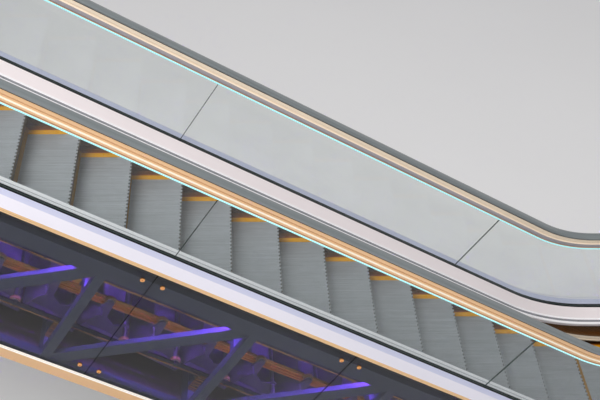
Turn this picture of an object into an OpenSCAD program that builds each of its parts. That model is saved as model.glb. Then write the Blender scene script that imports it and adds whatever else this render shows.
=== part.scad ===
// Glass-sided escalator, complete with both landings, its open truss, step band and drive.
// X runs down the slope towards the lower landing, Y across the steps, Z up.
// The origin is the middle of the bearing face under the support angle at the lower end.

/* [Travel] */
// Height between the two floors
rise = 4000; // [2600:50:6000]
// Slope of the flight, in degrees
slope = 30; // [27:0.5:33]
// Distance between steps along the chain
step_pitch = 400; // [395:1:410]
// Width of a step
step_w = 1000; // [800:100:1000]
// Level length before the comb at the upper landing
upper_level = 1330; // [1200:10:1600]
// Level length before the comb at the lower landing
lower_level = 1010; // [900:10:1300]
// From the comb to the end of the truss, upper landing
upper_end = 1270; // [1250:10:1600]
// From the comb to the end of the truss, lower landing
lower_end = 1290; // [1250:10:1600]
// How far the first whole step on the flight stands up the slope from the lower bend
first_nose = 380; // [0:1:399]

/* [Curves] */
// Radius of the step path where the slope starts, upper landing
upper_r = 1500; // [1200:50:2000]
// Radius of the step path where the slope ends, lower landing
lower_r = 1300; // [1100:50:1500]
// Radius of the decks at the upper bend
deck_upper_r = 1680; // [1400:10:2200]
// Radius of the decks at the lower bend
deck_lower_r = 1230; // [1000:10:1500]
// Radius of the handrail at the upper bend
rail_upper_r = 2000; // [1600:50:2400]
// Radius of the handrail at the lower bend
rail_lower_r = 900; // [700:50:1100]

/* [Steps] */
// Clearance between a step and the next one
step_gap = 5; // [4:0.5:6]
// Clearance between a step and the skirt, each side
skirt_gap = 3; // [2:0.5:4]
// Thickness of the tread casting
tread_t = 24; // [18:1:26]
// Thickness of the curved riser
riser_t = 12; // [8:1:16]
// Depth of the riser below the nose
riser_h = 215; // [210:1:220]
// Width of the yellow border lines
line_w = 38; // [25:1:45]
// Thickness of the yellow border lines
line_t = 3; // [2:0.5:4]
// Thickness of a step's side frames
frame_t = 12; // [8:1:14]
// From the side of a step to its side frame
frame_in = 78; // [60:1:90]

/* [Balustrade] */
// Height of the deck above the line of step noses on the flight
deck_h = 184; // [160:1:210]
// How much higher the decks and handrails stand above the treads at the landings
landing_lift = 111; // [60:1:140]
// Height of the handrail's light strip above the line of step noses
guide_h = 828; // [780:1:880]
// From the skirt to the middle of the balustrade glass
glass_off = 112; // [105:1:120]
// From the middle of the balustrade glass to the outer edge of the deck
deck_off = 140; // [135:1:150]
// Thickness of the balustrade glass
glass_t = 10; // [8:1:12]
// Length of one balustrade glass along the slope
glass_len = 2470; // [2000:10:2600]
// First balustrade glass joint above the lower bend, along the slope
glass_first = 1222; // [900:1:1400]
// Joint between lengths of glass or sheet
joint_gap = 3; // [2:0.5:5]
// Thickness of the deck sheets
deck_t = 4; // [3:0.5:6]
// Thickness of the skirt panels
skirt_t = 3; // [2:0.5:4]
// Width of the black gasket that holds the glass
gasket_w = 36; // [30:1:40]
// Height of the brush above the line of step noses
brush_h = 27; // [25:1:28]

/* [Handrail] */
// Width of the handrail
belt_w = 68; // [66:1:82]
// Thickness of the handrail
belt_t = 24; // [23:1:34]
// Width of the guide under the handrail
guide_w = 50; // [46:1:54]
// Height of the light strip
light_h = 17; // [12:1:22]
// From the bottom of the light strip to the underside of the handrail
belt_n = 104; // [102:1:115]
// Radius of the newel, to the light strip
newel_r = 290; // [250:5:320]

/* [Cladding] */
// Depth of the side glass below the nose line, square to the slope
side_depth = 1005; // [990:5:1060]
// Height of the trim along the bottom edge
trim_h = 82; // [75:1:95]
// Height of the trim's lip in front of the glass
trim_lip = 17; // [10:1:25]
// Thickness of the side glass
side_glass_t = 10; // [8:1:12]
// Length of one side glass along the slope
side_len = 1492; // [1300:1:1600]
// First side glass joint above the lower bend, along the slope
side_first = 774; // [600:1:900]

/* [Truss] */
// Height of the upper chord
top_chord = 120; // [100:5:140]
// Height of the lower chord
low_chord = 100; // [80:5:110]
// Width of the diagonals
brace_w = 90; // [70:5:100]
// Width of the posts
post_w = 65; // [50:5:80]
// Thickness of each truss side
truss_t = 62; // [50:1:70]
// How much thinner the diagonals are than the chords, each face
brace_in = 11; // [6:1:15]
// Length of a truss bay along the slope
bay = 1110; // [1000:10:1200]
// First post above the lower bend, along the slope
bay_first = 725; // [700:1:900]
// Size of the crossbeams
beam = 50; // [40:5:60]

/* [Drive] */
// Links in one step pitch of the chain
links = 2; // [2:1:3]
// Teeth on a chain wheel
teeth = 9; // [9:1:14]
// Radius of the step rollers
roller_r = 37; // [34:1:38]
// Width of the step rollers
roller_w = 24; // [20:1:26]
// Height of the chain's link plates round a bush
link_h = 34; // [30:1:38]
// Height of the chain's link plates between bushes
link_waist = 24; // [20:1:28]
// Thickness of one link plate
link_t = 3; // [2.5:0.5:4]
// Space between the two inner plates of a link
link_in = 10; // [9:0.5:12]
// Radius of the chain's bushes
bush_r = 11; // [9:0.5:12]
// Thickness of the guide rails
rail_t = 8; // [6:1:9]

/* [Floor] */
// Length of a comb plate behind its teeth
comb_len = 180; // [160:5:200]
// Length of the comb's teeth
tooth_len = 30; // [24:1:36]
// Distance between the comb's teeth
tooth_pitch = 9.07; // [8.5:0.01:10]
// Width of a comb tooth
tooth_w = 4; // [3.5:0.1:5]
// Height of the floor plates' underside above the treads
floor_lift = 34; // [33:1:40]
// Thickness of the floor plates
floor_t = 12; // [10:1:16]

/* [Bearings] */
// Depth of the bearing face below the lower or upper treads
bearing_drop = 150; // [120:5:200]
// Reach of the support angle beyond the truss
bearing_reach = 130; // [100:5:160]
// Height of the support angle
bearing_h = 110; // [100:5:120]
// Thickness of the support angle
bearing_t = 20; // [16:1:25]

/* [Hidden] */
$fn = 64;

// Clearance between pieces that rest on each other, and between lengths of one profile
fit = 0.3;
// Turn between two stations of a bend, of the belt's bends and of a tight bend, in degrees
fine = 2;
medium = 3.75;
coarse = 7.75;
// Longer than anything that is cut
far = 2 * rise;

// Plan lengths, from the lower bend (x = 0, z = 0 at the lower treads) up to the upper bend
run = rise / tan(slope);
slant = rise / sin(slope);
x_low_comb = lower_level;
x_low_end = lower_level + lower_end;
x_up_comb = -run - upper_level;
x_up_end = -run - upper_level - upper_end;

// One point along a path: [x, z, heading]. A leg is [length, 0], or [radius, angle] on a bend.
function leg_len(leg) = leg[1] == 0 ? leg[0] : leg[0] * abs(leg[1]) * PI / 180;
function leg_end(p, leg) = leg[1] == 0
    ? [p[0] + leg[0] * cos(p[2]), p[1] + leg[0] * sin(p[2]), p[2]]
    : let (s = sign(leg[1]), f = p[2] + leg[1])
      [p[0] + s * leg[0] * (sin(f) - sin(p[2])), p[1] - s * leg[0] * (cos(f) - cos(p[2])), f];
function leg_part(leg, t) = leg[1] == 0 || t == 0 ? [leg[0] * t, 0] : [leg[0], leg[1] * t];
function leg_start(p, legs, i) = i == 0 ? p : leg_end(leg_start(p, legs, i - 1), legs[i - 1]);
function trace(p, legs, turn, i = 0) = i == len(legs) ? [p]
    : let (n = legs[i][1] == 0 ? 1 : ceil(abs(legs[i][1]) / turn))
      concat([for (k = [0 : n - 1]) leg_end(p, leg_part(legs[i], k / n))],
          trace(leg_end(p, legs[i]), legs, turn, i + 1));
function along(p, legs, s, i = 0) = i == len(legs) ? p
    : let (l = leg_len(legs[i]))
      s <= l ? leg_end(p, leg_part(legs[i], max(s, 0) / l))
             : along(leg_end(p, legs[i]), legs, s - l, i + 1);
function total_len(legs, i = 0) = i == len(legs) ? 0 : leg_len(legs[i]) + total_len(legs, i + 1);
function beside(stations, n) = [for (p = stations) [p[0] - n * sin(p[2]), p[1] + n * cos(p[2])]];
function backward(list) = [for (i = [len(list) - 1 : -1 : 0]) list[i]];
function but_last(list) = [for (i = [0 : len(list) - 2]) list[i]];

// The legs of a line that goes down the flight from x0 (upper) to x1 (lower). Its bends stand
// dx along from the bends of the nose line.
bend = tan(slope / 2);
function down_legs(x0, x1, ru, rl, dx = 0) = [
    [-run + dx - ru * bend - x0, 0], [ru, -slope],
    [slant - (ru + rl) * bend, 0], [rl, slope], [x1 - dx - rl * bend, 0]];
// The same line walked back up
function up_legs(x1, x0, ru, rl, dx = 0) = [
    [x1 - dx - rl * bend, 0], [rl, -slope],
    [slant - (ru + rl) * bend, 0], [ru, slope], [-run + dx - ru * bend - x0, 0]];
function start_at(x0, h) = [x0, rise + h, 0];

// A flat piece drawn in the XZ plane, between y0 and y1
module plate(y0, y1) {
    translate([0, y1, 0]) rotate([90, 0, 0]) linear_extrude(y1 - y0) children();
}
// The ribbon between two offsets of a path
module ribbon(pts, n0, n1) {
    polygon(concat(beside(pts, n0), backward(beside(pts, n1))));
}
// A rectangle with round corners, centred on y
module rounded(w, z0, z1, r) {
    translate([-w / 2 + r, z0]) square([w - 2 * r, z1 - z0]);
    translate([-w / 2, z0 + r]) square([w, z1 - z0 - 2 * r]);
    for (y = [-w / 2 + r, w / 2 - r], z = [z0 + r, z1 - r]) translate([y, z]) circle(r = r);
}
module both_sides() {
    children();
    mirror([0, 1, 0]) children();
}
module place() {
    translate([-(x_low_end + bearing_gap + bearing_reach / 2), 0, bearing_drop]) children();
}

// A section (x across, y square to the path) swept along one length of a path
module straight(p, l) {
    translate([p[0], 0, p[1]]) rotate([0, -p[2], 0]) rotate([90, 0, 90]) linear_extrude(l) children();
}
module crest(p, r, turn) {
    translate([p[0] + r * sin(p[2]), 0, p[1] - r * cos(p[2])]) rotate([90, 0, 0])
        rotate([0, 0, 90 + p[2] - turn]) rotate_extrude(angle = turn) translate([r, 0])
            rotate(-90) children();
}
module dip(p, r, turn) {
    translate([p[0] - r * sin(p[2]), 0, p[1] + r * cos(p[2])]) rotate([-90, 0, 0])
        rotate([0, 0, 90 - p[2] - turn]) rotate_extrude(angle = turn) translate([r, 0])
            rotate(90) children();
}
// A section swept along all the legs, each straight length cut short by a joint
module lengths(p, legs, joint) {
    for (i = [0 : len(legs) - 1]) {
        q = leg_start(p, legs, i);
        leg = legs[i];
        if (leg[1] == 0) straight(leg_end(q, [joint / 2, 0]), leg[0] - joint) children();
        if (leg[1] < 0) crest(q, leg[0], -leg[1]) children();
        if (leg[1] > 0) dip(q, leg[0], leg[1]) children();
    }
}
// A closed loop swept as one skin
module loop_sweep(stations, section) {
    n = len(section);
    m = len(stations) - 1;
    pts = [for (i = [0 : m - 1]) for (c = section)
        [stations[i][0] - c[1] * sin(stations[i][2]), c[0], stations[i][1] + c[1] * cos(stations[i][2])]];
    faces = [for (i = [0 : m - 1]) for (j = [0 : n - 1])
        let (a = i * n + j, b = i * n + (j + 1) % n, c = ((i + 1) % m) * n + (j + 1) % n,
            d = ((i + 1) % m) * n + j) [a, b, c, d]];
    polyhedron(points = pts, faces = faces, convexity = 8);
}
// The part of a drawing between two cuts square to the slope, measured up it from the lower bend
module cut_band(from, to) {
    rotate(-slope) translate([-to, -far]) square([to - from, 2 * far]);
}

// Lines across the machine
skirt_y = step_w / 2 + skirt_gap;
glass_y = skirt_y + glass_off;
half_w = glass_y + deck_off;
side_in = 10;
side_y = half_w - side_in - side_glass_t;
truss_gap = 8;
truss_y = side_y - truss_gap - truss_t;

// The balustrade's bends stand up the slope from those of the steps, so it is higher at the landings
lead = landing_lift / tan(slope);
deck_level = deck_h + landing_lift;
guide_level = guide_h + landing_lift;
newel_in = 560;
rail_out = newel_r + belt_n + belt_t;
x_newel_low = x_low_end - newel_in - rail_out;
x_newel_up = x_up_end + newel_in + rail_out;
base_back = 100;
base_front = 130;
x_deck_low = x_newel_low - base_back;
x_deck_up = x_newel_up + base_back;
deck_legs = down_legs(x_deck_up, x_deck_low, deck_upper_r, deck_lower_r, -lead);
deck_start = start_at(x_deck_up, deck_level);
glass_low_legs = down_legs(x_newel_up, x_newel_low, deck_upper_r, deck_lower_r, -lead);
rail_legs = down_legs(x_newel_up, x_newel_low, rail_upper_r, rail_lower_r, -lead);

// The inner deck falls from the gasket to a groove, then a lip hangs in front of the skirt
lip_in = 16;
lip_top = 66;
lip_low = 106;
groove_at = 88;
groove_w = 14;
groove_d = 9;
deck_fall = 52;
outer_flat = 75;
outer_fall = 39;
outer_lip = 29;
inner_section = [
    [-gasket_w / 2 - fit, -deck_t], [-gasket_w / 2 - fit, 0], [-groove_at, -deck_fall],
    [-groove_at, -deck_fall - groove_d], [-groove_at - groove_w, -deck_fall - groove_d],
    [-groove_at - groove_w, -deck_fall - 2], [-glass_off - lip_in + 5, -lip_top + 2],
    [-glass_off - lip_in, -lip_top - 4], [-glass_off - lip_in, -lip_low], [-glass_off - fit, -lip_low],
    [-glass_off - fit, -lip_top - deck_t - 2], [-groove_at + deck_t, -deck_fall - groove_d - deck_t],
    [-groove_at + deck_t, -deck_fall - deck_t + 3]];
outer_section = [
    [gasket_w / 2 + fit, -deck_t], [outer_flat - 2, -deck_t],
    [deck_off - deck_t, -outer_fall - 2], [deck_off - deck_t, -outer_fall - outer_lip],
    [deck_off, -outer_fall - outer_lip], [deck_off, -outer_fall], [outer_flat, 0],
    [gasket_w / 2 + fit, 0]];
module inner_deck_one() {
    color([0.88, 0.85, 0.84]) lengths(deck_start, deck_legs, 2 * fit)
        translate([glass_y, 0]) polygon(inner_section);
}
module outer_deck_one() {
    color([0.87, 0.87, 0.92]) lengths(deck_start, deck_legs, 2 * fit)
        translate([glass_y, 0]) polygon(outer_section);
}

// The glass stands on the gasket, whose top is flush with the newel bases
gasket_up = 1;
gasket_down = 45;
glass_seat = gasket_up + fit;
module gasket_one() {
    color([0.06, 0.06, 0.07]) plate(glass_y - gasket_w / 2, glass_y + gasket_w / 2)
        ribbon(trace(deck_start, deck_legs, fine), -gasket_down, gasket_up);
}
// The newel end of the glass, drawn with the newel's centre at the origin
module newel_face(dir) {
    low = -(guide_h - newel_r - deck_h) + glass_seat;
    intersection() {
        circle(r = newel_r - fit, $fn = 128);
        translate([dir > 0 ? -1 : -newel_r, low]) square([newel_r + 1, 2 * newel_r]);
    }
}
module balustrade_face() {
    low = trace(start_at(x_newel_up, deck_level), glass_low_legs, fine);
    high = trace(start_at(x_newel_up, guide_level), rail_legs, fine);
    polygon(concat(beside(low, glass_seat), backward(beside(high, -fit))));
    translate([x_newel_low, guide_level - newel_r]) newel_face(1);
    translate([x_newel_up, rise + guide_level - newel_r]) newel_face(-1);
}
glass_end = 400;
module balustrade_glass_one() {
    cuts = concat([-far], [for (s = [glass_first : glass_len : slant - glass_end]) s], [far]);
    color([0.75, 0.85, 0.85, 0.35]) plate(glass_y - glass_t / 2, glass_y + glass_t / 2)
        for (i = [0 : len(cuts) - 2]) intersection() {
            balustrade_face();
            cut_band(cuts[i] + joint_gap / 2, cuts[i + 1] - joint_gap / 2);
        }
}

// Handrail guide, light strip and belt follow one line from newel to newel
guide_wrap = 150;
guide_legs = concat([[newel_r, -guide_wrap]], rail_legs, [[newel_r, -guide_wrap]]);
guide_start = [x_newel_up - newel_r * sin(guide_wrap),
    rise + guide_level - newel_r + newel_r * cos(guide_wrap), guide_wrap];
groove_z = 66;
upper_z = 69;
upper_top = 96;
shoulder_r = 14;
edge_r = 4;
neck_w = 28;
// The channel inside the belt slides on the guide's head, and the slot between its lips clears the neck
channel_w = 52;
channel_low = 4;
channel_top = 13;
slot_w = 36;
head_w = channel_w - 2;
head_low = belt_n + channel_low + fit;
head_top = belt_n + channel_top - fit;
module guide_section() {
    rounded(guide_w, light_h + fit, groove_z, shoulder_r);
    rounded(guide_w, upper_z, upper_top, edge_r);
    translate([-neck_w / 2, groove_z - 1]) square([neck_w, head_low + 1 - groove_z + 1]);
    translate([-head_w / 2, head_low]) square([head_w, head_top - head_low]);
}
module guide_one() {
    color([0.82, 0.67, 0.5]) lengths(guide_start, guide_legs, 2 * fit)
        translate([glass_y, 0]) guide_section();
}
module light_one() {
    color([0.6, 0.95, 0.96]) lengths(guide_start, guide_legs, 2 * fit)
        translate([glass_y, 0]) rounded(guide_w - 2, 0, light_h, 5);
}

// The belt is one closed loop: over the guide, round both newels and back below the deck
belt_back = -40 + landing_lift;
dive = 25;
dive_r = 400;
belt_r = newel_r + belt_n;
dive_len = (guide_level - newel_r - belt_r * cos(dive) - belt_back - dive_r * (1 - cos(dive))) / sin(dive);
newel_back = -belt_r * sin(dive) + dive_len * cos(dive) + dive_r * sin(dive);
x_back_low = x_newel_low - newel_back;
x_back_up = x_newel_up + newel_back;
belt_top = trace(start_at(x_newel_up, guide_level + belt_n),
    down_legs(x_newel_up, x_newel_low, rail_upper_r + belt_n, rail_lower_r - belt_n,
        -lead + belt_n * bend), medium);
belt_round_low = trace([x_newel_low, guide_level + belt_n, 0],
    [[belt_r, -(180 - dive)], [dive_len, 0], [dive_r, -dive]], coarse);
belt_under = trace([x_back_low, belt_back, 180],
    up_legs(x_back_low, x_back_up, deck_upper_r, deck_lower_r, -lead), medium);
belt_round_up = trace([x_back_up, rise + belt_back, 180],
    [[dive_r, -dive], [dive_len, 0], [belt_r, -(180 - dive)]], coarse);
// Half of the belt's C section, from the inside of its lip to the middle of its back
belt_lip = 2;
belt_half = [[slot_w / 2, -belt_lip], [slot_w / 2, channel_low],
    [channel_w / 2, channel_low], [channel_w / 2, channel_top]];
belt_out = [[belt_w / 2 - 7, -belt_lip], [belt_w / 2, 7],
    [belt_w / 2 - 2, belt_t - 10], [belt_w / 2 - 12, belt_t - belt_lip]];
function flip(list) = [for (p = backward(list)) [-p[0], p[1]]];
belt_section = concat(flip(belt_half), backward(belt_half), belt_out, flip(belt_out));
module belt_one() {
    stations = concat(but_last(belt_top), but_last(belt_round_low), but_last(belt_under), belt_round_up);
    color([0.46, 0.5, 0.53]) translate([0, glass_y, 0]) loop_sweep(stations, belt_section);
}

// A newel base closes each end of the decks, stands on the floor plate and takes the belt in.
// It is drawn from the newel's centre line, x towards the landing, z from the treads.
base_low = floor_lift + floor_t + fit;
base_r = 50;
mouth_w = 10;
collar = 10;
module base_section() {
    polygon([[-glass_off + skirt_t, base_low], [-glass_off + skirt_t, deck_level - lip_low],
        [-glass_off - lip_in, deck_level - lip_low], [-glass_off - lip_in, deck_level - lip_top - 4],
        [-gasket_w / 2, deck_level + gasket_up], [outer_flat, deck_level + gasket_up],
        [deck_off, deck_level - outer_fall], [deck_off, base_low]]);
}
module base_side() {
    translate([-base_back + fit, base_low])
        square([base_back + base_front - base_r - fit, deck_level + gasket_up - base_low]);
    translate([-base_back + fit, base_low])
        square([base_back + base_front - fit, deck_level + gasket_up - base_low - base_r]);
    translate([base_front - base_r, deck_level + gasket_up - base_r]) circle(r = base_r);
}
module belt_tunnel(l0, l1, more) {
    // along the belt's straight dive, from the point where it leaves the newel
    translate([belt_r * sin(dive), 0, guide_level - newel_r - belt_r * cos(dive)])
        rotate([0, 180 - dive, 0]) translate([l0, -belt_w / 2 - more, -more])
            cube([l1 - l0, belt_w + 2 * more, belt_t + 2 * more]);
}
module newel_base_one() {
    difference() {
        union() {
            intersection() {
                translate([-base_back, glass_y, 0]) rotate([90, 0, 90])
                    linear_extrude(base_back + base_front) base_section();
                plate(skirt_y - lip_in, half_w) base_side();
            }
            intersection() {
                translate([0, glass_y, 0]) belt_tunnel(10, 60, mouth_w + collar);
                translate([0, skirt_y, base_low])
                    cube([base_front + collar, half_w - skirt_y, deck_level - base_low]);
            }
        }
        translate([0, glass_y, 0]) belt_tunnel(-100, dive_len, mouth_w);
    }
}
module newel_bases() {
    color([0.6, 0.6, 0.62]) both_sides() {
        translate([x_newel_low, 0, 0]) newel_base_one();
        translate([x_newel_up, 0, rise]) mirror([1, 0, 0]) newel_base_one();
    }
}

// The skirt reaches from the deck's lip to just above the line of the step axles, and carries a brush
axle_back = 310;
axle_down = 130;
axle_r = 15;
skirt_clear = 12;
module skirt_one() {
    low = trace(start_at(x_deck_up, -axle_down),
        down_legs(x_deck_up, x_deck_low, upper_r, lower_r, -axle_back), fine);
    high = trace(deck_start, deck_legs, fine);
    color([0.25, 0.24, 0.23]) plate(skirt_y, skirt_y + skirt_t)
        polygon(concat(beside(low, axle_r + skirt_clear), backward(beside(high, -lip_top - deck_t - 3))));
}
brush_out = 20;
brush_t = 18;
bristle_out = 26;
bristle_h = 14;
brush_end = 60;
brush_taper = 60;
function nose_line(cut) = trace(start_at(x_up_comb + cut, 0),
    down_legs(x_up_comb + cut, x_low_comb - cut, upper_r, lower_r), fine);
module brush_one() {
    outer = nose_line(brush_end);
    inner = nose_line(brush_end + brush_taper);
    color([0.8, 0.8, 0.82]) plate(skirt_y - brush_out, skirt_y - fit)
        polygon(concat(beside(outer, brush_h), backward(beside(inner, brush_h + brush_t))));
    color([0.05, 0.05, 0.05]) plate(skirt_y - bristle_out, skirt_y - brush_out / 3)
        ribbon(inner, brush_h - bristle_h, brush_h - fit);
}

// Step band. A step's axle and its trailing rollers lie behind and below its nose.
trail_back = 100;
trail_down = 275;
link = step_pitch / links;
wheel_r = link * teeth / (2 * PI);
wheel_out = 420;
function band_down(x0, x1) = down_legs(x0, x1, upper_r, lower_r, -axle_back);
band_gross = 2 * total_len(band_down(x_up_comb - wheel_out, x_low_comb + wheel_out)) + 2 * PI * wheel_r;
band_count = ceil(band_gross / step_pitch);
x_wheel_low = x_low_comb + wheel_out;
x_wheel_up = x_up_comb - wheel_out - (band_count * step_pitch - band_gross) / 2;
band_start = start_at(x_wheel_up, -axle_down);
top_legs = band_down(x_wheel_up, x_wheel_low);
top_len = total_len(top_legs);
band_legs = concat(top_legs, [[wheel_r, -180]],
    up_legs(x_wheel_low, x_wheel_up, upper_r, lower_r, -axle_back), [[wheel_r, -180]]);
band_len = band_count * step_pitch;
function band_at(s) = along(band_start, band_legs, s % band_len);
// Where along the band the first step on the flight has its axle
first_step = top_legs[0][0] + leg_len(top_legs[1]) + slant - first_nose - upper_r * bend;
band_shift = first_step % step_pitch;

// Heading of a step at s: towards the band a trail's length ahead, and leaning on the way back
trail_ahead = axle_back - trail_back;
lean = 6;
function step_turn(s) = let (a = band_at(s), b = band_at(s + trail_ahead),
        away = s > top_len + PI * wheel_r && s < band_len - PI * wheel_r)
    atan2(b[1] - a[1], b[0] - a[0]) - (away ? lean : 0);
top_steps = [for (s = [band_shift : step_pitch : top_len - trail_ahead]) s];
return_places = [for (s = [band_shift + len(top_steps) * step_pitch : step_pitch : band_len - 1]) s];

tread_rear = step_gap - step_pitch;
riser_front = 120;
module step_profile() {
    r = -tread_rear;
    translate([tread_rear, -tread_t]) square([r - riser_t / 2, tread_t - line_t]);
    intersection() {
        difference() {
            translate([tread_rear, 0]) circle(r = r, $fn = 180);
            translate([tread_rear, 0]) circle(r = r - riser_t, $fn = 180);
        }
        translate([-riser_front, -riser_h]) square([riser_front + 1, riser_h - line_t]);
    }
}
frame_y = step_w / 2 - frame_in;
trail_w = roller_w;
trail_y = frame_y - frame_t - 6 - trail_w;
roller_gap = 31;
roller_y = step_w / 2 + roller_gap;
// Side frame: a web under the tread with a foot for the trailing roller and a boss for the axle
module step_frame(holes) {
    difference() {
        union() {
            polygon([[-350, -tread_t + 1], [-12, -tread_t + 1], [-34, -120],
                [-trail_back + 26, -trail_down], [-trail_back - 26, -trail_down], [-150, -150],
                [-230, -105], [-axle_back, -axle_down - 22], [-350, -100]]);
            translate([-axle_back, -axle_down]) circle(r = 30);
            translate([-trail_back, -trail_down]) circle(r = 26);
        }
        if (holes) {
            translate([-105, -85]) circle(r = 30);
            translate([-200, -62]) circle(r = 22);
            translate([-95, -175]) circle(r = 22);
        }
    }
}
module step_solid(holes) {
    plate(-step_w / 2, step_w / 2) step_profile();
    both_sides() {
        plate(frame_y - frame_t, frame_y) step_frame(holes);
        translate([-trail_back, frame_y - frame_t + 1, -trail_down]) rotate([90, 0, 0])
            cylinder(h = frame_y - frame_t + 1 - trail_y - trail_w - fit, r = axle_r);
    }
    translate([-axle_back, 0, -axle_down]) rotate([90, 0, 0])
        cylinder(h = 2 * (roller_y - fit), r = axle_r, center = true);
}
// A step's own frame on the way down, always level, and on the way back
module on_top(s) {
    p = band_at(s);
    translate([p[0] + axle_back, 0, p[1] + axle_down]) children();
}
module on_return(s) {
    p = band_at(s);
    translate([p[0], 0, p[1]]) rotate([0, -step_turn(s), 0])
        translate([axle_back, 0, axle_down]) children();
}
module steps() {
    color([0.55, 0.57, 0.59]) for (s = top_steps) on_top(s) step_solid(true);
}
module step_lines() {
    color([0.7, 0.53, 0.02]) for (s = top_steps) on_top(s) translate([0, 0, -line_t + fit])
        linear_extrude(line_t - fit) difference() {
            translate([tread_rear, -step_w / 2]) square([-tread_rear, step_w]);
            translate([tread_rear + line_w, -step_w / 2 + line_w])
                square([-tread_rear, step_w - 2 * line_w]);
        }
}
module return_steps() {
    color([0.35, 0.36, 0.38]) for (s = return_places) on_return(s) step_solid(false);
}
module roller_set() {
    both_sides() {
        translate([-axle_back, roller_y, -axle_down]) rotate([-90, 0, 0])
            cylinder(h = roller_w, r = roller_r);
        translate([-trail_back, trail_y, -trail_down]) rotate([-90, 0, 0])
            cylinder(h = trail_w, r = roller_r);
    }
}
module step_rollers() {
    color([0.75, 0.6, 0.35]) {
        for (s = top_steps) on_top(s) roller_set();
        for (s = return_places) on_return(s) roller_set();
    }
}

// The chain: outer and inner link plates by turns on bushes, closed into one loop
chain_y = roller_y + roller_w + fit;
chain_w = 4 * link_t + link_in;
link_step = 1.5;
module link_plate(k, r) {
    a = band_at(band_shift + k * link);
    b = band_at(band_shift + (k + 1) * link);
    v = [b[0] - a[0], b[1] - a[1]];
    translate([a[0], a[1]]) {
        circle(r = r);
        rotate(atan2(v[1], v[0])) translate([0, -link_waist / 2]) square([norm(v), link_waist]);
        translate(v) circle(r = r);
    }
}
module link_pair(y0, y1, first, r) {
    for (y = [y0, y1]) plate(y, y + link_t)
        for (k = [first : 2 : band_count * links - 1]) link_plate(k, r);
}
module chain_one() {
    color([0.3, 0.3, 0.32]) {
        link_pair(chain_y + link_t, chain_y + chain_w - 2 * link_t, 0, link_h / 2 - link_step);
        link_pair(chain_y, chain_y + chain_w - link_t, 1, link_h / 2);
        plate(chain_y + link_t / 2, chain_y + chain_w - link_t / 2)
            for (k = [0 : band_count * links - 1]) let (p = band_at(band_shift + k * link))
                translate([p[0], p[1]]) circle(r = bush_r);
    }
}

// Chain wheels: the bushes lie in pockets between the teeth
tooth_out = 9;
tooth_gap = 0.6;
hub_r = 85;
hub_w = 60;
shaft_r = 45;
web_holes = 7;
web_hole_r = 48;
module tooth_wheel(phase) {
    difference() {
        circle(r = wheel_r + tooth_out, $fn = 180);
        for (k = [0 : teeth - 1]) rotate(-(phase + k * link) / wheel_r * 180 / PI) translate([0, wheel_r]) {
            circle(r = bush_r + tooth_gap);
            polygon([[-bush_r - tooth_gap, 0], [bush_r + tooth_gap, 0], [bush_r + 8, tooth_out + 4],
                [-bush_r - 8, tooth_out + 4]]);
        }
        for (k = [0 : web_holes - 1]) rotate(k * 360 / web_holes) translate([0, (wheel_r + hub_r) / 2])
            circle(r = web_hole_r);
    }
}
module wheel_pair(phase) {
    both_sides() {
        plate(chain_y + 2 * link_t + tooth_gap, chain_y + chain_w - 2 * link_t - tooth_gap)
            tooth_wheel(phase);
        plate(chain_y + (chain_w - hub_w) / 2, chain_y + (chain_w + hub_w) / 2) circle(r = hub_r);
    }
    rotate([90, 0, 0]) cylinder(h = 2 * (truss_y - fit), r = shaft_r, center = true);
}
module drive_wheels() {
    color([0.35, 0.36, 0.38]) translate([x_wheel_up, 0, rise - axle_down - wheel_r]) wheel_pair(band_shift);
}
module idler_wheels() {
    color([0.35, 0.36, 0.38]) translate([x_wheel_low, 0, -axle_down - wheel_r])
        wheel_pair(band_shift - top_len);
}

// Side cladding and truss follow straight lines with a kink at each end
function kink(d) = d * bend;
function straight_line(d, x0 = x_up_end, x1 = x_low_end) =
    [[x0, rise - d], [-run - kink(d), rise - d], [-kink(d), -d], [x1, -d]];
module chord(d0, d1) {
    polygon(concat(straight_line(d0), backward(straight_line(d1))));
}
// The same band in three pieces, with a joint at each kink
module kinked_band(d0, d1, joint) {
    a = straight_line(d0);
    b = straight_line(d1);
    for (i = [0 : 2]) {
        back = [cos(i == 1 ? slope : 0), -sin(i == 1 ? slope : 0)] * joint / 2;
        start = i == 0 ? [0, 0] : back;
        stop = i == 2 ? [0, 0] : back;
        polygon([a[i] + start, a[i + 1] - stop, b[i + 1] - stop, b[i] + start]);
    }
}
side_top_up = 10;
module side_face() {
    pts = trace(deck_start, deck_legs, fine);
    floor_z = floor_lift - fit;
    polygon(concat([[x_up_end, rise + floor_z], [x_deck_up, rise + floor_z]],
        beside(pts, -outer_fall - outer_lip + side_top_up),
        [[x_deck_low, floor_z], [x_low_end, floor_z]], backward(straight_line(side_depth))));
}
// Glasses on the landings are cut off a little beyond the bends
landing_cut = 1450;
module side_glass_one() {
    cuts = concat([-far, -landing_cut], [for (s = [side_first : side_len : slant - side_len / 2]) s],
        [slant + landing_cut, far + slant]);
    color([0.6, 0.7, 0.75, 0.35]) plate(side_y, side_y + side_glass_t)
        for (i = [0 : len(cuts) - 2]) intersection() {
            side_face();
            cut_band(cuts[i] + joint_gap / 2, cuts[i + 1] - joint_gap / 2);
        }
}
lip_short = 4;
module trim_one() {
    color([0.78, 0.61, 0.41]) {
        plate(side_y - 2, half_w) kinked_band(side_depth + fit, side_depth + trim_h, 2 * fit);
        plate(side_y + side_glass_t + fit, half_w - lip_short / 4)
            kinked_band(side_depth - trim_lip, side_depth + fit + lip_short, 2 * fit + lip_short);
    }
}
truss_top = 4;
truss_low = side_depth + trim_h - 12;
post_places = [for (s = [bay_first : bay : slant - bay / 5]) s];
low_posts = [350, 1300, x_low_end - post_w / 2];
up_posts = [-run - 900, -run - 1720, x_up_end + post_w / 2];
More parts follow.
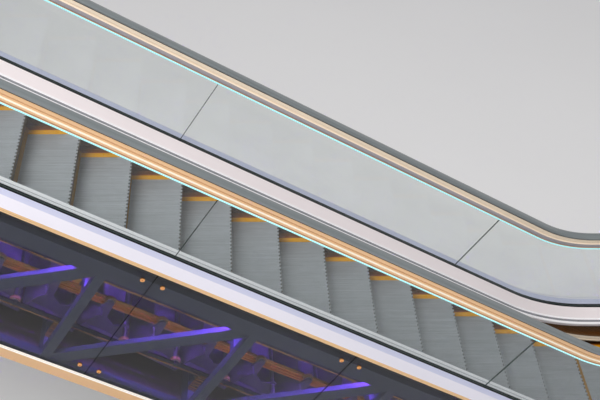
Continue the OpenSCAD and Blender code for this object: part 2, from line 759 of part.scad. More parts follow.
module bar(a, b, w) {
    v = b - a;
    translate(a) rotate(atan2(v[1], v[0])) translate([0, -w / 2]) square([norm(v), w]);
}
function slope_pt(s, d) = [-s * cos(slope) - d * sin(slope), s * sin(slope) - d * cos(slope)];
top_c = truss_top + top_chord / 2;
low_c = truss_low - low_chord / 2;
// Foot and head of each post, from the lower end to the upper
posts = concat([for (i = [2 : -1 : 0]) [[low_posts[i], -low_c], [low_posts[i], -top_c]]],
    [for (s = post_places) [slope_pt(s, low_c), slope_pt(s, top_c)]],
    [for (x = up_posts) [[x, rise - low_c], [x, rise - top_c]]]);
module truss_one() {
    color([0.18, 0.2, 0.25]) {
        plate(truss_y, truss_y + truss_t) {
            chord(truss_top, truss_top + top_chord);
            chord(truss_low - low_chord, truss_low);
            for (p = posts) bar(p[0], p[1], post_w);
        }
        plate(truss_y + brace_in, truss_y + truss_t - brace_in)
            for (i = [0 : len(posts) - 2]) bar(posts[i + 1][0], posts[i][1], brace_w);
    }
}
end_t = 12;
module end_plate(x, z) {
    translate([x, -half_w, z - truss_low]) cube([end_t, 2 * half_w, truss_low + floor_lift - fit]);
}
module truss_end_lower() {
    color([0.2, 0.21, 0.24]) end_plate(x_low_end + fit, 0);
}
module truss_end_upper() {
    color([0.2, 0.21, 0.24]) end_plate(x_up_end - fit - end_t, rise);
}
bearing_gap = end_t + 2 * fit;
bearing_in = 55;
module bearing_one() {
    translate([bearing_gap, -half_w + bearing_in, -bearing_drop]) {
        cube([bearing_reach, 2 * (half_w - bearing_in), bearing_t]);
        cube([bearing_t, 2 * (half_w - bearing_in), bearing_h]);
    }
}
module bearing_lower() {
    color([0.3, 0.3, 0.32]) translate([x_low_end, 0, 0]) bearing_one();
}
module bearing_upper() {
    color([0.3, 0.3, 0.32]) translate([x_up_end, 0, rise]) mirror([1, 0, 0]) bearing_one();
}
soffit_t = 3;
module soffit_panel() {
    cuts = concat([-far, 0], [for (s = [bay_first : 2 * bay : slant - bay]) s], [slant, far + slant]);
    color([0.6, 0.6, 0.62]) plate(-side_y + 3, side_y - 3) for (i = [0 : len(cuts) - 2]) intersection() {
        chord(truss_low + fit, truss_low + fit + soffit_t);
        cut_band(cuts[i] + joint_gap / 2, cuts[i + 1] - joint_gap / 2);
    }
}
light_end = 300;
light_w = 26;
module truss_lights() {
    d = truss_top + top_chord;
    color([0.5, 0.3, 0.9]) both_sides() plate(truss_y - light_w, truss_y - fit)
        polygon(concat(straight_line(d - 30, x_up_end + light_end, x_low_end - light_end),
            backward(straight_line(d - 8, x_up_end + light_end, x_low_end - light_end))));
}

// Rails for the axle rollers and the trailing rollers, on the way down and on the way back
rail_over = 4;
trail_clear = 4;
rail_end = 60;
drop_back = 2 * wheel_r;
web_t = 5;
web_h = 60;
trail_lift = (trail_down - axle_down) * cos(lean) + trail_ahead * sin(lean);
function run_pts(h, dx, cut) = trace(start_at(x_wheel_up + cut, h),
    down_legs(x_wheel_up + cut, x_wheel_low - cut, upper_r, lower_r, dx), fine);
axle_line = run_pts(-axle_down, -axle_back, rail_end);
trail_line = run_pts(-trail_down, -trail_back, rail_end);
back_line = run_pts(-axle_down - drop_back, -axle_back, rail_end);
rail_under = roller_r + fit + rail_t;
module rail_profiles() {
    plate(roller_y - rail_over, roller_y + roller_w) {
        ribbon(axle_line, -rail_under, -roller_r - fit);
        ribbon(back_line, -rail_under, -roller_r - fit);
    }
    plate(trail_y - rail_over, trail_y + trail_w + 2) {
        ribbon(trail_line, -rail_under, -roller_r - fit);
        ribbon(back_line, trail_lift - rail_under - trail_clear, trail_lift - roller_r - fit - trail_clear);
    }
    web_low = trail_lift - rail_under - trail_clear;
    plate(trail_y - rail_over - web_t, trail_y - rail_over + 1) ribbon(back_line, web_low, web_low + web_h);
}
// Each crossbeam stands square to the line at [x, z, angle] on the nose line
frames = concat([[low_posts[0], 0, 0]], [for (s = post_places) concat(slope_pt(s, 0), [slope])],
    [[up_posts[0], rise, 0]]);
function depth(back, down, a) = back * sin(a) + down * cos(a);
function beam_top(a) = depth(trail_back, trail_down, a) + rail_under + fit;
function beam_low(a) = beam_top(a) + beam;
module at_frame(f) {
    translate([f[0], 0, f[1]]) rotate([0, f[2], 0]) children();
}
// A square post from depth d0 down to depth d1
module stay(y0, y1, d0, d1) {
    translate([-beam / 2, y0, -d1]) cube([beam, y1 - y0, d1 - d0]);
}
stay_t = 8;
module guide_rails() {
    color([0.7, 0.6, 0.45]) both_sides() {
        rail_profiles();
        for (f = frames) at_frame(f) {
            axle_d = depth(axle_back, axle_down, f[2]);
            back_d = axle_d + drop_back * cos(f[2]);
            trail_d = back_d - trail_lift + rail_under + trail_clear;
            y1 = roller_y + roller_w - 2;
            stay(roller_y, y1, axle_d + rail_under - rail_t / 2, beam_top(f[2]) - fit);
            stay(roller_y, y1, back_d + rail_under - rail_t / 2, truss_low - low_chord - fit);
            stay(trail_y - rail_over - web_t - stay_t, trail_y - rail_over - web_t + 1,
                beam_low(f[2]) + fit, trail_d - web_t);
        }
    }
}
module truss_crossbeams() {
    l = 2 * (truss_y - fit);
    color([0.18, 0.2, 0.25]) for (f = frames) at_frame(f) {
        translate([-beam / 2, -l / 2, -beam_low(f[2])]) cube([beam, l, beam]);
        translate([-beam / 2, -l / 2, -truss_low]) cube([beam, l, low_chord]);
    }
}

// Landings: the comb slopes up from the treads to the floor plate, and its teeth point at the steps
comb_clear = 1.2;
comb_tip = 3;
comb_root = 5.5;
comb_under = 8;
comb_gap = 0.5;
module comb_side() {
    top = floor_lift + floor_t;
    polygon([[-tooth_len, comb_clear], [6, comb_clear], [60, comb_under], [comb_len, floor_lift - 8],
        [comb_len, top], [comb_len - 12, top], [0, comb_root + 2], [-tooth_len, comb_tip]]);
}
module comb_plan() {
    w = step_w;
    translate([0, -w / 2]) square([comb_len, w]);
    n = floor((w / 2 - tooth_w) / tooth_pitch);
    for (k = [-n : n]) translate([-tooth_len, k * tooth_pitch - tooth_w / 2])
        square([tooth_len + 1, tooth_w]);
}
module comb_one() {
    intersection() {
        linear_extrude(2 * (floor_lift + floor_t)) comb_plan();
        plate(-step_w / 2, step_w / 2) comb_side();
    }
}
module comb_plates() {
    color([0.75, 0.76, 0.78]) {
        translate([x_low_comb, 0, 0]) comb_one();
        translate([x_up_comb, 0, rise]) mirror([1, 0, 0]) comb_one();
    }
}
// A floor plate fills the landing between the skirts, and its full width beyond the decks
module floor_one(x_deck, x_end, x_comb, z) {
    edge = half_w - 1;
    translate([0, 0, z + floor_lift]) linear_extrude(floor_t)
        polygon([[x_comb, -skirt_y + 1], [x_deck, -skirt_y + 1], [x_deck, -edge], [x_end, -edge],
            [x_end, edge], [x_deck, edge], [x_deck, skirt_y - 1], [x_comb, skirt_y - 1]]);
    // edge rails stand on the truss
    both_sides() translate([min(x_deck, x_end), truss_y, z - truss_top + fit])
        cube([abs(x_end - x_deck), truss_t, truss_top + floor_lift]);
}
module floor_plates() {
    color([0.7, 0.7, 0.71]) {
        floor_one(x_deck_low + 1, x_low_end, x_low_comb + comb_len + comb_gap, 0);
        floor_one(x_deck_up - 1, x_up_end, x_up_comb - comb_len - comb_gap, rise);
    }
}

place() mirror([0, 1, 0]) truss_one();  // truss_near
place() truss_one();  // truss_far
place() truss_crossbeams();
place() truss_end_lower();
place() truss_end_upper();
place() bearing_lower();
place() bearing_upper();
place() soffit_panel();
place() mirror([0, 1, 0]) side_glass_one();  // side_glass_near
place() side_glass_one();  // side_glass_far
place() mirror([0, 1, 0]) trim_one();  // bottom_trim_near
place() trim_one();  // bottom_trim_far
place() mirror([0, 1, 0]) outer_deck_one();  // outer_deck_near
place() outer_deck_one();  // outer_deck_far
place() mirror([0, 1, 0]) inner_deck_one();  // inner_deck_near
place() inner_deck_one();  // inner_deck_far
place() mirror([0, 1, 0]) gasket_one();  // glass_gasket_near
place() gasket_one();  // glass_gasket_far
place() mirror([0, 1, 0]) balustrade_glass_one();  // balustrade_glass_near
place() balustrade_glass_one();  // balustrade_glass_far
place() mirror([0, 1, 0]) guide_one();  // handrail_guide_near
place() guide_one();  // handrail_guide_far
place() mirror([0, 1, 0]) light_one();  // handrail_light_near
place() light_one();  // handrail_light_far
place() mirror([0, 1, 0]) belt_one();  // handrail_near
place() belt_one();  // handrail_far
place() newel_bases();
place() mirror([0, 1, 0]) skirt_one();  // skirt_near
place() skirt_one();  // skirt_far
place() both_sides() brush_one();  // skirt_brushes
place() steps();
place() step_lines();
place() return_steps();
place() step_rollers();
place() mirror([0, 1, 0]) chain_one();  // step_chain_near
place() chain_one();  // step_chain_far
place() guide_rails();
place() drive_wheels();
place() idler_wheels();
place() comb_plates();
place() floor_plates();
place() truss_lights();
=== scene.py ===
"""The looks of a glass-sided escalator: finishes, cleats, belts, brushes and fixings on its CAD model."""

from math import ceil, cos, hypot, inf, pi, radians, sin, tan

import bpy
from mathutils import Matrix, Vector


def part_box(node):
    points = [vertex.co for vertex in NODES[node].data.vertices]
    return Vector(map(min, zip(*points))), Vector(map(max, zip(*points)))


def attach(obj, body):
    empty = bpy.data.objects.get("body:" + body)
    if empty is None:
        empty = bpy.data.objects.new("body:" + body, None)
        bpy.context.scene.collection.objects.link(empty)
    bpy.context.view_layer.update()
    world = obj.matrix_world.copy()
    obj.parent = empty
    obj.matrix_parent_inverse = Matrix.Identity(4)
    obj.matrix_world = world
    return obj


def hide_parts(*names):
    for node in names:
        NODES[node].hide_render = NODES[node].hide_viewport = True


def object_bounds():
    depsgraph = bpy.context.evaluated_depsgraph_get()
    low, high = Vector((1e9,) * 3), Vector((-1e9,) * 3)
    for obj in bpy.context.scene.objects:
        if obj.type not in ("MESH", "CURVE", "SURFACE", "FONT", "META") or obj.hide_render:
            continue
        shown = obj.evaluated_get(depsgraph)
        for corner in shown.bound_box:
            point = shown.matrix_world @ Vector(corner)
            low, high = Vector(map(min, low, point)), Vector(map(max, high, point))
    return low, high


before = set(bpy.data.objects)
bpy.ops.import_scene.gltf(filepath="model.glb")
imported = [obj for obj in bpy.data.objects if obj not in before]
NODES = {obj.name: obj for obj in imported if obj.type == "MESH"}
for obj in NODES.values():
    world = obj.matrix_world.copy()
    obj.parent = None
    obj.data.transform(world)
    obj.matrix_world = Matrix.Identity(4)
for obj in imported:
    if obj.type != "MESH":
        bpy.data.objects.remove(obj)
CAD_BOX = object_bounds()

# Travel: the flight and its lower working point in the model's frame, in metres as all sizes here
SLOPE = radians(30)
RISE = 4.0
LOW_X = -2.3776
LOW_Z = 0.15
RUN = RISE / tan(SLOPE)
SLANT = RISE / sin(SLOPE)
BEND = tan(SLOPE / 2)

# Lines along the travel: radii of the upper and lower bend, and the lead of decks and handrail on the steps
STEP_RADII = (1.5, 1.3)
DECK_RADII = (1.68, 1.23)
RAIL_RADII = (2.0, 0.9)
LANDING_LIFT = 0.111
LEAD = LANDING_LIFT / tan(SLOPE)

# Planes along the machine, out from its middle
SKIRT_Y = 0.503
GLASS_Y = 0.615
SIDE_Y = 0.735
HALF_W = 0.755

# Steps and their cleats, which stand out at the nose or stop short of it
PITCH = 0.4
STEP_W = 1.0
TREAD = 0.395
GROOVE = 0.003
CLEAT_PITCH = 0.00907
CLEAT_W = 0.0042
CLEAT_SUNK = 0.0004
CLEAT_BREAK = 0.001
NOSE_PROUD = 0.0044
NOSE_BACK = 0.007
NOSE_DOWN = 0.006
RISER_TURN = radians(32)
RISER_PARTS = 6
RISER_BREAK = 0.0001
RISER_PROUD = 0.001
RISER_SUNK = 0.001

# Yellow lines: the CAD's plate, and the wider cleats that show the lines, brown at the skirts as painted
# shade
LINE_W = 0.038
LINE_UP = 0.0003
LINE_SHOWN = 0.098
LINE_CLEAT_W = 0.0062
SKIRT_SHADE_W = 0.053
SKIRT_SHADE_CLEAT_W = 0.0080

# Handrail: the light strip's line over a landing, and heights over that line
GUIDE_UP = 0.939
NEWEL_R = 0.29
GUIDE_WRAP = radians(150)
LIGHT_H = 0.017
SHOULDER_UP = 0.051
CHANNEL_UP = 0.075
BELT_UP = 0.104
BEAD_UP = (0.0385, 0.0530)
BEAD_OUT = (0.0245, 0.0262)

# The belt's way back: it dives from each newel and returns under the deck
DIVE = radians(25)
DIVE_R = 0.4
RETURN_UP = 0.071

# Cladding: the outer deck's flat and lip, the trim's top below the nose line, and bolts at the glass joints
FLAT_W = 0.076
LIP_T = 0.005
TRIM_TOP = 1.0095
SIDE_GLASS_T = 0.01
SIDE_JOINT_FIRST = 0.774
SIDE_JOINT_PITCH = 1.492
BOLT_R = 0.0165
BOLT_OUT = 0.009
BOLT_SUNK = 0.002
SOCKET_R = 0.0008
BOLT_FROM_JOINT = 0.0705
BOLT_DEPTHS = (-0.003, 0.906)

# The inner deck's edge: a strip that closes its groove, a dark seal with screws whose grey is painted shade
# of the groove, and a nosing along its lip.
# Sections are (in from the glass, down from the deck line)
DECK_UP = 0.295
STRIP = [(0.0886, 0.0605), (0.0886, 0.0518), (0.0905, 0.0512), (0.1045, 0.0512), (0.1060, 0.0525),
         (0.1060, 0.0580), (0.1014, 0.0605)]
SEAL = [(0.1065, 0.0570), (0.1065, 0.0557), (0.1235, 0.0638), (0.1235, 0.0650)]
NOSING = [(0.1240, 0.0655), (0.1240, 0.0612), (0.1250, 0.0604), (0.1465, 0.0560), (0.1490, 0.0580),
          (0.1490, 0.0680), (0.1270, 0.0690)]
SEAL_TILT = radians(25)
SCREW_PITCH = 0.33
SCREW_R = 0.0036
SCREW_H = 0.0016

# Rollers: the reaches that tell them and their faces apart, and the hub's pressed ring and bright cap, as
# (radius, height) over the roller's face
ROLLER_REACH = 0.08
FACE_REACH = 0.0004
HUB_RING = [(0.0195, 0.0), (0.0262, 0.0), (0.0262, 0.0014), (0.0245, 0.0026), (0.0212, 0.0026),
            (0.0195, 0.0014)]
HUB_CAP = [(0.004, 0.0), (0.0105, 0.0), (0.0105, 0.0022), (0.009, 0.0038), (0.0052, 0.0042), (0.0012, 0.0042)]

# Landings: ribs on the floor plates, and the plain rims that frame their panels
FLOOR_UP = 0.046
RIB_PITCH = 0.0125
RIB_W = 0.0055
RIB_UP = 0.0012
RIB_SUNK = 0.0004
RIB_LEAST = 0.05
PANEL_LEN = 0.62
PANEL_JOINT = 0.014
PANEL_RIM = 0.012
PANEL_FRONT = 0.02
SIDE_RIM = 0.016
SKIRT_RIM = 0.009

# Brushes: rows of a tuft, as (out from the middle, above the nose line, half its width)
TUFT_PITCH = 0.009
TUFT_ROWS = [(0.489, 0.0285, 0.0036), (0.4765, 0.0225, 0.0026), (0.4755, 0.0120, 0.0026),
             (0.492, 0.0160, 0.0036)]
BRUSH_END = 0.07

# Studio
FLOOR_REACH = 60.0
FLOOR_GAP = 0.004


def linear(r, g, b):
    """A colour as written in the photograph, 0 to 255, as scene colour."""
    def part(c):
        c /= 255
        return c / 12.92 if c <= 0.04045 else ((c + 0.055) / 1.055) ** 2.4
    return part(r), part(g), part(b), 1.0


STEP_GREY = linear(204, 207, 213)
YELLOW = linear(220, 158, 0)
RUBBER = linear(120, 127, 129)
BRONZE = linear(216, 176, 132)
TRUSS = linear(76, 86, 99)


# Paths: a place is (x, z, heading); a leg is (length, 0), or (radius, turn) on a bend
def leg_end(p, leg, share=1.0):
    x, z, a = p
    size, turn = leg
    if turn == 0:
        return x + size * share * cos(a), z + size * share * sin(a), a
    s = 1 if turn > 0 else -1
    f = a + turn * share
    return x + s * size * (sin(f) - sin(a)), z - s * size * (cos(f) - cos(a)), f


def leg_length(leg):
    return leg[0] if leg[1] == 0 else leg[0] * abs(leg[1])


def path_length(legs):
    return sum(leg_length(leg) for leg in legs)


def trace(p, legs, turn=radians(2.5)):
    """Places along a path: one at each end of a straight leg, and one every turn round a bend."""
    places = []
    for leg in legs:
        parts = 1 if leg[1] == 0 else ceil(abs(leg[1]) / turn)
        places += [leg_end(p, leg, k / parts) for k in range(parts)]
        p = leg_end(p, leg)
    return places + [p]


def along(p, legs, s):
    """The place at a length s along a path."""
    for leg in legs:
        length = leg_length(leg)
        if s <= length:
            return leg_end(p, leg, s / length)
        s -= length
        p = leg_end(p, leg)
    return p


def down_legs(x0, x1, radii, dx=0.0):
    """The legs of a line down the flight from x0 to x1, its bends dx along from those of the nose line."""
    up, low = radii
    return [
        (LOW_X - RUN + dx - up * BEND - x0, 0),
        (up, -SLOPE),
        (SLANT - (up + low) * BEND, 0),
        (low, SLOPE),
        (x1 - LOW_X - dx - low * BEND, 0),
    ]


def up_legs(x1, x0, radii, dx=0.0):
    up, low = radii
    a, b, c, d, e = down_legs(x0, x1, radii, dx)
    return [e, (low, -SLOPE), c, (up, SLOPE), a]


def beside(p, n):
    """The point n above a place, square to its heading, as (x, z)."""
    return p[0] - n * sin(p[2]), p[1] + n * cos(p[2])


def slope_point(s, d):
    """The point s up the slope from the lower bend and d below the nose line, as (x, z)."""
    return LOW_X - s * cos(SLOPE) - d * sin(SLOPE), LOW_Z + s * sin(SLOPE) - d * cos(SLOPE)


def below_nose_line(x, z):
    """How far a point is below the nose line, square to it, on the flight or over a landing."""
    flight = (LOW_X - x) * sin(SLOPE) - (z - LOW_Z) * cos(SLOPE)
    return max(min(flight, LOW_Z + RISE - z), LOW_Z - z)


def height_over(places, x, z):
    """How far a point is above the nearest stretch of a line, square to it."""
    best = (inf, 0.0)
    for a, b in zip(places, places[1:]):
        dx, dz = b[0] - a[0], b[1] - a[1]
        length = hypot(dx, dz)
        share = min(max(((x - a[0]) * dx + (z - a[1]) * dz) / length ** 2, 0), 1)
        away = hypot(x - a[0] - share * dx, z - a[1] - share * dz)
        best = min(best, (away, ((z - a[1]) * dx - (x - a[0]) * dz) / length))
    return best[1]


# Meshes: each is its points and its faces, which point outward
def skin(rings, size, closed=False):
    """Faces over rings of points, with flat ends unless the last ring joins the first."""
    faces = []
    for i in range(rings if closed else rings - 1):
        a, b = i * size, (i + 1) % rings * size
        faces += [(a + j, a + (j + 1) % size, b + (j + 1) % size, b + j) for j in range(size)]
    if not closed:
        faces.append(tuple(range(size))[::-1])
        faces.append(tuple(range((rings - 1) * size, rings * size)))
    return faces


def sweep(places, section, closed=False):
    """A section (y, n) carried along a path."""
    points = []
    for p in places:
        for y, n in section:
            x, z = beside(p, n)
            points.append((x, y, z))
    return points, skin(len(places), len(section), closed)


def prism(outline, y0, y1):
    """An outline (x, z) drawn from y0 to y1."""
    return [(x, y, z) for y in (y0, y1) for x, z in outline], skin(2, len(outline))


def revolve(profile, axis_at, axis, sides=20, closed=False):
    """A profile (radius, height) turned round an axis that starts at a point."""
    turn = Vector((0, 0, 1)).rotation_difference(Vector(axis)).to_matrix()
    points = []
    for r, h in profile:
        for k in range(sides):
            a = 2 * pi * k / sides
            points.append(tuple(Vector(axis_at) + turn @ Vector((r * cos(a), r * sin(a), h))))
    return points, skin(len(profile), sides, closed)


def joined(parts):
    points = []
    faces = []
    for part_points, part_faces in parts:
        base = len(points)
        points += part_points
        faces += [tuple(base + i for i in face) for face in part_faces]
    return points, faces


def on_both_sides(parts):
    """Parts and their mirror images over the machine's middle plane, as one mesh."""
    images = [([(x, -y, z) for x, y, z in points], [face[::-1] for face in faces]) for points, faces in parts]
    return joined(parts + images)


def add_piece(name, shape, material, smooth=False):
    points, faces = shape
    mesh = bpy.data.meshes.new(name)
    mesh.from_pydata(points, [], faces)
    mesh.validate()
    mesh.update()
    mesh.polygons.foreach_set("use_smooth", [smooth] * len(mesh.polygons))
    mesh.materials.append(material)
    piece = bpy.data.objects.new(name, mesh)
    bpy.context.scene.collection.objects.link(piece)
    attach(piece, "root")
    return piece


# Shader nodes
def plug(tree, socket, value):
    """Links a socket from another node's socket, or sets it to a value."""
    if isinstance(value, bpy.types.NodeSocket):
        tree.links.new(value, socket)
    else:
        socket.default_value = value


def shader_node(tree, kind, settings=None, **sockets):
    made = tree.nodes.new("ShaderNode" + kind)
    for name, value in (settings or {}).items():
        setattr(made, name, value)
    for name, value in sockets.items():
        plug(tree, made.inputs[name.replace("_", " ")], value)
    return made


def maths(tree, operation, *values):
    made = shader_node(tree, "Math", {"operation": operation})
    for socket, value in zip(made.inputs, values):
        plug(tree, socket, value)
    return made.outputs["Value"]


def blend_colours(tree, share, one, two):
    """A mix of two colours; the node keeps its colour sockets at 6 and 7 and their result at 2."""
    made = shader_node(tree, "Mix", {"data_type": "RGBA"})
    for index, value in ((0, share), (6, one), (7, two)):
        plug(tree, made.inputs[index], value)
    return made.outputs[2]


def mix_shaders(tree, share, one, two):
    made = shader_node(tree, "MixShader", Fac=share)
    for index, value in ((1, one), (2, two)):
        plug(tree, made.inputs[index], value)
    return made.outputs["Shader"]


def spread(tree, value, low, high, start=0.3, stop=0.7):
    """A value that runs from start to stop, made to run from low to high."""
    made = shader_node(tree, "MapRange", Value=value, From_Min=start, From_Max=stop, To_Min=low, To_Max=high)
    return made.outputs["Result"]


def grain(tree, size, detail=3.0, tilt=SLOPE):
    """Noise whose grains have a size along the slope, across the machine and square to both, in metres."""
    where = shader_node(tree, "TexCoord").outputs["Object"]
    turned = shader_node(
        tree, "Mapping", {"vector_type": "TEXTURE"}, Vector=where, Rotation=(0, tilt, 0), Scale=size
    ).outputs["Vector"]
    noise = shader_node(tree, "TexNoise", Vector=turned, Scale=1.0, Detail=detail, Roughness=0.6)
    return noise.outputs["Fac"]


def facing_axis(tree, axis):
    """How far a face's own normal points along an axis of the model."""
    normal = shader_node(tree, "NewGeometry").outputs["True Normal"]
    return shader_node(tree, "SeparateXYZ", Vector=normal).outputs[axis]


# Materials
def new_material(name):
    material = bpy.data.materials.new(name)
    material.use_nodes = True
    material.node_tree.nodes.clear()
    return material, material.node_tree


def principled(tree, **sockets):
    return shader_node(tree, "BsdfPrincipled", **sockets).outputs["BSDF"]


def output(tree, surface):
    shader_node(tree, "OutputMaterial", Surface=surface)


def shade(colour, k):
    return colour[0] * k, colour[1] * k, colour[2] * k, 1.0


def worked(name, colour, rough, metal=0.0, size=(0.6, 0.004, 0.004), patch=(0.9, 0.25, 0.25), vary=0.05,
           rub=0.08, bump=0.00003, tilt=SLOPE, **more):
    """A worked surface: fine grain in its roughness and relief, wider patches in its colour."""
    material, tree = new_material(name)
    fine = grain(tree, size, tilt=tilt)
    wide = spread(tree, grain(tree, patch, 4.0, tilt), 0, 1)
    relief = shader_node(tree, "Bump", Strength=0.6, Distance=bump, Height=fine)
    output(tree, principled(
        tree,
        Base_Color=blend_colours(tree, wide, shade(colour, 1 - vary), shade(colour, 1 + vary)),
        Metallic=metal,
        Roughness=spread(tree, fine, rough - rub / 2, rough + rub / 2),
        Normal=relief.outputs["Normal"],
        **more,
    ))
    return material


def lit(name, colour, strength, size=(1.2, 0.05, 0.05)):
    """A diffuser in front of lamps: the light is a little uneven along its length."""
    material, tree = new_material(name)
    output(tree, principled(
        tree,
        Base_Color=shade(colour, 0.5),
        Roughness=0.35,
        Emission_Color=colour,
        Emission_Strength=spread(tree, grain(tree, size), strength * 0.92, strength * 1.08),
    ))
    return material


def glass(name, tint, edge, least=0.035, rough=0.02):
    """Sheet glass: clear with a faint tint through its faces, deeper colour on its cut edges."""
    material, tree = new_material(name)
    face = maths(tree, "GREATER_THAN", maths(tree, "ABSOLUTE", facing_axis(tree, "Y")), 0.5)
    smear = grain(tree, (0.7, 0.3, 0.3), 5.0)
    through = blend_colours(tree, spread(tree, smear, 0, 1), tint, shade(tint, 0.97))
    clear = shader_node(tree, "BsdfTransparent", Color=through).outputs["BSDF"]
    shine = shader_node(tree, "BsdfGlossy", Roughness=spread(tree, smear, rough, rough * 2.5)).outputs["BSDF"]
    steep = maths(tree, "POWER", shader_node(tree, "LayerWeight", Blend=0.5).outputs["Facing"], 4.0)
    sheet = mix_shaders(tree, spread(tree, steep, least, 0.9, 0.0, 1.0), clear, shine)
    output(tree, mix_shaders(tree, face, principled(tree, Base_Color=edge, Roughness=0.25), sheet))
    return material


def cast_steel(name, groove, body):
    """A step casting: dark in its grooves, whose floor faces up, and plain cast metal elsewhere."""
    material, tree = new_material(name)
    top = spread(tree, facing_axis(tree, "Z"), 0, 1, 0.9, 0.95)
    fine = grain(tree, (0.004, 0.004, 0.004))
    wide = spread(tree, grain(tree, (0.3, 0.08, 0.3), tilt=0), 0, 1)
    plain = blend_colours(tree, wide, shade(body, 0.9), shade(body, 1.1))
    relief = shader_node(tree, "Bump", Strength=0.5, Distance=0.0002, Height=fine)
    output(tree, principled(
        tree,
        Base_Color=blend_colours(tree, top, plain, groove),
        Metallic=0.6,
        Roughness=spread(tree, fine, 0.42, 0.6),
        Normal=relief.outputs["Normal"],
    ))
    return material


def cleat_metal(name, colour, metal, gloss=0.3):
    """Cleats worn by shoes: each has its own tone, with long streaks and scuffs."""
    material, tree = new_material(name)
    streak = grain(tree, (0.5, 0.006, 0.5), 2.0, 0)
    scuff = grain(tree, (0.09, 0.05, 0.2), 6.0, 0)
    tone = blend_colours(tree, spread(tree, streak, 0, 1), shade(colour, 0.86), shade(colour, 1.1))
    output(tree, principled(
        tree,
        Base_Color=blend_colours(tree, spread(tree, scuff, 0, 0.35, 0.5, 0.75), tone, shade(colour, 1.35)),
        Metallic=metal,
        Roughness=spread(tree, scuff, 0.34, 0.5),
        Specular_IOR_Level=gloss,
    ))
    return material


# Finishes of the CAD nodes
def pair(name):
    return name + "_near", name + "_far"


def paint(material, *names):
    for name in names:
        NODES[name].data.materials.clear()
        NODES[name].data.materials.append(material)


def repaint(name, pick):
    """Gives faces another finish: pick takes a face's middle and normal, and may return a material."""
    mesh = NODES[name].data
    for face in mesh.polygons:
        material = pick(face.center, face.normal)
        if material:
            if mesh.materials.find(material.name) < 0:
                mesh.materials.append(material)
            face.material_index = mesh.materials.find(material.name)


def cad_materials():
    """The main finish of every CAD node that stays in view, apart from the yellow lines."""
    paint(worked("truss_paint", TRUSS, 0.45, 0.0, (0.01, 0.01, 0.01), vary=0.08, bump=0.00012),
          *pair("truss"), "truss_crossbeams", "truss_end_lower", "truss_end_upper")
    paint(worked("bearing_steel", linear(110, 112, 116), 0.5, 0.7, (0.02, 0.02, 0.02), vary=0.12),
          "bearing_lower", "bearing_upper")
    paint(worked("soffit_sheet", linear(120, 112, 100), 0.38, 0.6, (0.8, 0.006, 0.006)), "soffit_panel")
    paint(glass("side_glass", (0.76, 0.76, 0.79, 1), (0.01, 0.012, 0.012, 1), 0.02), *pair("side_glass"))
    paint(worked("trim_bronze", BRONZE, 0.35, 0.45), *pair("bottom_trim"))
    paint(worked("outer_deck_white", linear(236, 233, 244), 0.36, 0.15, vary=0.02), *pair("outer_deck"))
    paint(worked("inner_deck_white", linear(248, 244, 248), 0.36, 0.15, vary=0.02), "inner_deck_near")
    # The far inner deck gets a darker, warmer copy of the near deck's white, as painted shade.
    paint(worked("inner_deck_far_shaded", linear(242, 232, 234), 0.36, 0.15, vary=0.02), "inner_deck_far")
    paint(worked("gasket_black", (0.004, 0.004, 0.006, 1), 0.6, 0.0, (0.02, 0.004, 0.02), vary=0.2,
                 Specular_IOR_Level=0.08), *pair("glass_gasket"))
    paint(glass("balustrade_glass", (0.955, 0.975, 0.97, 1), (0.05, 0.07, 0.066, 1)),
          *pair("balustrade_glass"))
    paint(worked("guide_bronze", linear(232, 190, 144), 0.3, 0.35), *pair("handrail_guide"))
    paint(lit("light_cyan", linear(168, 238, 242), 0.78), *pair("handrail_light"))
    paint(worked("newel_grey", linear(176, 176, 180), 0.4, 0.5, (0.5, 0.004, 0.004), tilt=0), "newel_bases")
    paint(worked("skirt_steel", linear(112, 84, 58), 0.28, 0.85, (0.8, 0.003, 0.003)), *pair("skirt"))
    paint(worked("brush_holder", linear(232, 222, 206), 0.4, 0.2), "skirt_brushes")
    paint(cast_steel("step_grey", linear(104, 108, 112), linear(112, 112, 112)), "steps", "return_steps")
    paint(worked("roller_tan", linear(168, 132, 84), 0.4, 0.0, (0.01, 0.01, 0.01), (0.03, 0.03, 0.03)),
          "step_rollers")
    paint(worked("chain_steel", linear(70, 72, 76), 0.35, 0.9, (0.01, 0.01, 0.01), (0.05, 0.05, 0.05), 0.2),
          *pair("step_chain"))
    # The rails' gold is a painted reflection of warm light on their steel.
    paint(worked("rail_steel", linear(240, 190, 108), 0.26, 0.8, (0.5, 0.003, 0.003)), "guide_rails")
    paint(worked("wheel_steel", linear(120, 122, 126), 0.4, 0.8, (0.02, 0.02, 0.02), (0.1, 0.1, 0.1), 0.15),
          "drive_wheels", "idler_wheels")
    paint(worked("comb_aluminium", linear(196, 198, 202), 0.35, 0.8, (0.3, 0.003, 0.003), tilt=0),
          "comb_plates")
    paint(worked("floor_steel", linear(186, 186, 188), 0.36, 0.85, (0.3, 0.003, 0.003), tilt=0),
          "floor_plates")
    paint(lit("light_violet", (0.25, 0.08, 1.0, 1), 170.0), "truss_lights")


def newel_middles():
    """Where the lower and the upper newel have their middles along the machine."""
    low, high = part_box("handrail_light_near")
    over = NEWEL_R + LIGHT_H
    return high[0] - over, low[0] + over


def guide_places():
    """The line of the handrail's light strip, round both newels."""
    x_low, x_up = newel_middles()
    level = LOW_Z + GUIDE_UP - NEWEL_R
    start = (x_up - NEWEL_R * sin(GUIDE_WRAP), RISE + level + NEWEL_R * cos(GUIDE_WRAP), GUIDE_WRAP)
    wrap = (NEWEL_R, -GUIDE_WRAP)
    return trace(start, [wrap] + down_legs(x_up, x_low, RAIL_RADII, -LEAD) + [wrap], radians(5))


